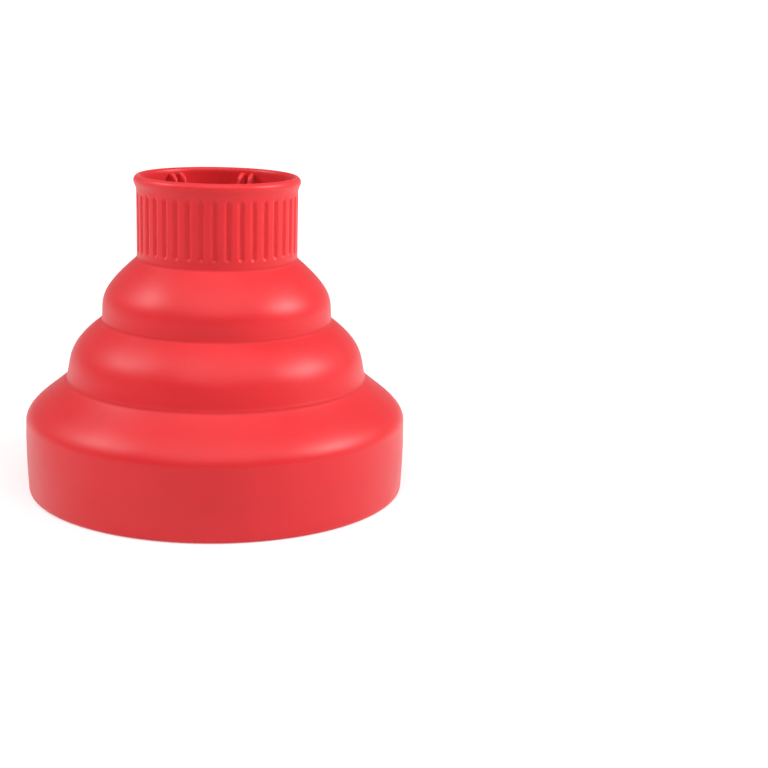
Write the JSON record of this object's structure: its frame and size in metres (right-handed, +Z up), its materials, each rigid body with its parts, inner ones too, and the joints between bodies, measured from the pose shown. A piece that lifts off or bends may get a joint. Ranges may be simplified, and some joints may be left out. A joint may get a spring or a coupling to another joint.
{
  "type": "dryer diffuser",
  "caption": "Folding bell-shaped silicone diffuser with a ribbed socket neck, stepped domes that nest into a wide skirt, and a recessed face plate.",
  "frame": {"origin": "centre of the skirt's bottom rim, on the plane it rests on", "axes": "+Z up along the axis of turning, from the wide skirt to the neck; -Y faces the viewer"},
  "size_m": [0.1498, 0.1498, 0.124],
  "materials": {
    "silicone": "matte coral-red silicone",
    "face_plastic": "matte moulded plastic in the same red"
  },
  "bodies": {
    "skirt": {"skirt_wall": "silicone", "shoulder_web": "silicone", "face_plate": "face_plastic", "finger_01": "face_plastic", "finger_02": "face_plastic", "finger_03": "face_plastic", "finger_04": "face_plastic", "finger_05": "face_plastic", "finger_06": "face_plastic", "finger_07": "face_plastic", "finger_08": "face_plastic", "finger_09": "face_plastic", "finger_10": "face_plastic", "finger_11": "face_plastic", "finger_12": "face_plastic", "finger_13": "face_plastic", "finger_14": "face_plastic", "finger_15": "face_plastic", "finger_16": "face_plastic", "finger_17": "face_plastic", "finger_18": "face_plastic"},
    "ring_2": {"ring_2_wall": "silicone", "dome_2_web": "silicone"},
    "ring_1": {"ring_1_wall": "silicone", "dome_1_web": "silicone"},
    "neck": {"neck_foot": "silicone", "neck_sleeve": "silicone", "grip_fin_1a": "silicone", "grip_fin_1b": "silicone", "grip_fin_2a": "silicone", "grip_fin_2b": "silicone", "grip_fin_3a": "silicone", "grip_fin_3b": "silicone", "grip_fin_4a": "silicone", "grip_fin_4b": "silicone", "grip_fin_5a": "silicone", "grip_fin_5b": "silicone", "grip_fin_6a": "silicone", "grip_fin_6b": "silicone"}
  },
  "joints": [
    {"name": "skirt_fold", "type": "slide", "parent": "skirt", "child": "ring_2", "axis": [0, 0, 1], "range_m": [-0.0175, 0], "deforming": ["shoulder_web"]},
    {"name": "dome_2_fold", "type": "slide", "parent": "ring_2", "child": "ring_1", "axis": [0, 0, 1], "range_m": [-0.0225, 0], "deforming": ["dome_2_web"]},
    {"name": "dome_1_fold", "type": "slide", "parent": "ring_1", "child": "neck", "axis": [0, 0, 1], "range_m": [-0.0295, 0], "deforming": ["dome_1_web"]}
  ]
}
